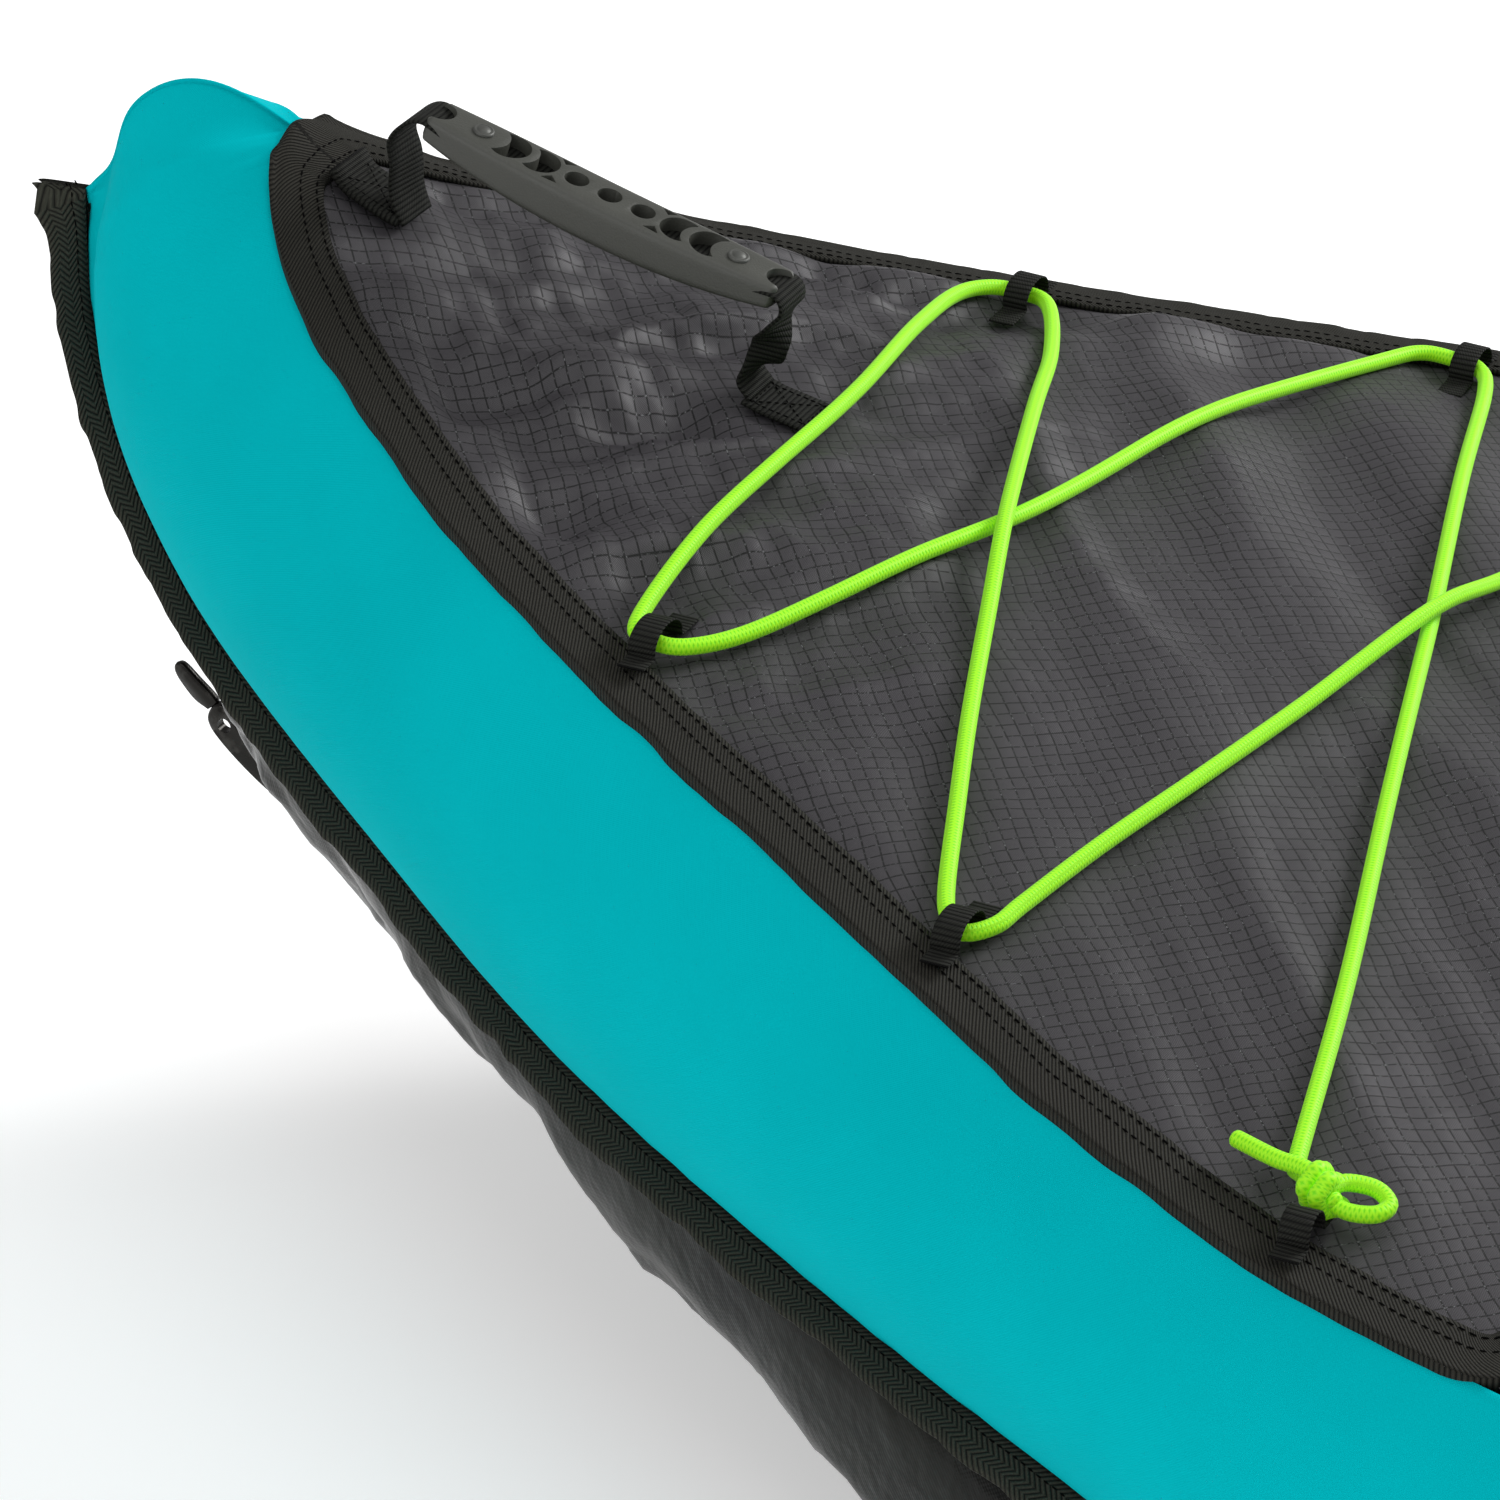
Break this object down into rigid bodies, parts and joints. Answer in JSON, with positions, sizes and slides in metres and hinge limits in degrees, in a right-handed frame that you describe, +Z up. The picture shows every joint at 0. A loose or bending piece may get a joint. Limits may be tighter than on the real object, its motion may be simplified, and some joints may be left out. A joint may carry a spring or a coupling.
{
  "type": "inflatable kayak",
  "caption": "Inflatable sit-in kayak with a fabric cover, covered ends, laced deck cord, carry handles, seat, valves, skeg and tow hook.",
  "frame": {"origin": "on the ground under the middle of the hull", "axes": "+X towards the bow, +Y to port, +Z up"},
  "size_m": [3.1032, 0.8382, 0.4854],
  "materials": {
    "teal_nylon": "matte woven nylon",
    "ripstop": "satin ripstop weave",
    "webbing": "ribbed webbing",
    "pvc": "glossy coated tarpaulin",
    "cord": "braided sheath",
    "grip": "moulded satin",
    "dark_steel": "black oxide",
    "bladder": "smooth film",
    "plastic": "moulded",
    "seat_fabric": "woven"
  },
  "bodies": {
    "hull": {"bow_bungee_cord": "cord", "bow_deck": "ripstop", "bow_deck_binding": "webbing", "bow_handle_front_patch": "webbing", "bow_handle_rear_patch": "webbing", "bungee_knot_port": "cord", "bungee_knot_starboard": "cord", "bungee_loop_port_1": "webbing", "bungee_loop_port_2": "webbing", "bungee_loop_port_3": "webbing", "bungee_loop_starboard_1": "webbing", "bungee_loop_starboard_2": "webbing", "bungee_loop_starboard_3": "webbing", "drain_plug": "plastic", "floor_chamber": "bladder", "floor_valve_body": "plastic", "hull_bottom": "pvc", "port_inner_wall": "teal_nylon", "port_seam_binding": "webbing", "port_seat_strap": "webbing", "port_side_chamber": "bladder", "port_side_cover": "teal_nylon", "port_side_valve_body": "plastic", "port_strap_buckle": "plastic", "seat_cushion": "seat_fabric", "skeg_box": "plastic", "skeg_fin": "plastic", "skeg_pin": "dark_steel", "starboard_inner_wall": "teal_nylon", "starboard_seam_binding": "webbing", "starboard_seat_strap": "webbing", "starboard_side_chamber": "bladder", "starboard_side_cover": "teal_nylon", "starboard_side_valve_body": "plastic", "starboard_strap_buckle": "plastic", "stern_deck": "ripstop", "stern_deck_binding": "webbing", "stern_handle_front_patch": "webbing", "stern_handle_rear_patch": "webbing", "tow_tab": "webbing"},
    "bow_handle": {"bow_handle_grip": "grip", "bow_handle_webbing": "webbing", "bow_handle_front_rivet": "dark_steel", "bow_handle_rear_rivet": "dark_steel"},
    "stern_handle": {"stern_handle_grip": "grip", "stern_handle_webbing": "webbing", "stern_handle_front_rivet": "dark_steel", "stern_handle_rear_rivet": "dark_steel"},
    "backrest": {"seat_backrest": "seat_fabric"},
    "ring": {"tow_ring": "dark_steel"},
    "hook": {"snap_hook_body": "dark_steel"},
    "gate": {"snap_hook_gate": "dark_steel"},
    "port_side_cap": {"port_side_valve_cap": "plastic"},
    "port_side_plunger": {"port_side_valve_plunger": "dark_steel"},
    "starboard_side_cap": {"starboard_side_valve_cap": "plastic"},
    "starboard_side_plunger": {"starboard_side_valve_plunger": "dark_steel"},
    "floor_cap": {"floor_valve_cap": "plastic"},
    "floor_plunger": {"floor_valve_plunger": "dark_steel"}
  },
  "joints": [
    {"name": "bow_handle_flop", "type": "hinge", "parent": "hull", "child": "bow_handle", "pos_m": [1.385, 0, 0.40585], "axis": [0.9564, 0, 0.2921], "range_deg": [-25, 25]},
    {"name": "stern_handle_flop", "type": "hinge", "parent": "hull", "child": "stern_handle", "pos_m": [-1.385, 0, 0.40585], "axis": [-0.9564, 0, 0.2921], "range_deg": [-25, 25]},
    {"name": "backrest_tilt", "type": "hinge", "parent": "hull", "child": "backrest", "pos_m": [-0.3, 0, 0.15], "axis": [0, 1, 0], "range_deg": [-12, 75]},
    {"name": "tow_ring_swing", "type": "hinge", "parent": "hull", "child": "ring", "pos_m": [1.4315, 0, 0.108], "axis": [0, 1, 0], "range_deg": [-8, 35]},
    {"name": "snap_hook_swing", "type": "hinge", "parent": "ring", "child": "hook", "pos_m": [1.44629, 0, 0.11372], "axis": [0, 1, 0], "range_deg": [-6, 22]},
    {"name": "snap_gate", "type": "hinge", "parent": "hook", "child": "gate", "pos_m": [1.48787, 0, 0.15152], "axis": [0, 1, 0], "range_deg": [-25, 0], "stiffness_Nm_per_rad": 0.02},
    {"name": "port_side_cap_hinge", "type": "hinge", "parent": "hull", "child": "port_side_cap", "pos_m": [-0.571, 0.30828, 0.2697], "axis": [0, 1, 0], "range_deg": [-150, 0]},
    {"name": "port_side_plunger_press", "type": "slide", "parent": "hull", "child": "port_side_plunger", "axis": [0, 0, 1], "range_m": [-0.003, 0], "stiffness_N_per_m": 200},
    {"name": "starboard_side_cap_hinge", "type": "hinge", "parent": "hull", "child": "starboard_side_cap", "pos_m": [-0.571, -0.30828, 0.2697], "axis": [0, 1, 0], "range_deg": [-150, 0]},
    {"name": "starboard_side_plunger_press", "type": "slide", "parent": "hull", "child": "starboard_side_plunger", "axis": [0, 0, 1], "range_m": [-0.003, 0], "stiffness_N_per_m": 200},
    {"name": "floor_cap_hinge", "type": "hinge", "parent": "hull", "child": "floor_cap", "pos_m": [-0.621, 0, 0.0958], "axis": [0, 1, 0], "range_deg": [-150, 0]},
    {"name": "floor_plunger_press", "type": "slide", "parent": "hull", "child": "floor_plunger", "axis": [0, 0, 1], "range_m": [-0.003, 0], "stiffness_N_per_m": 200}
  ]
}
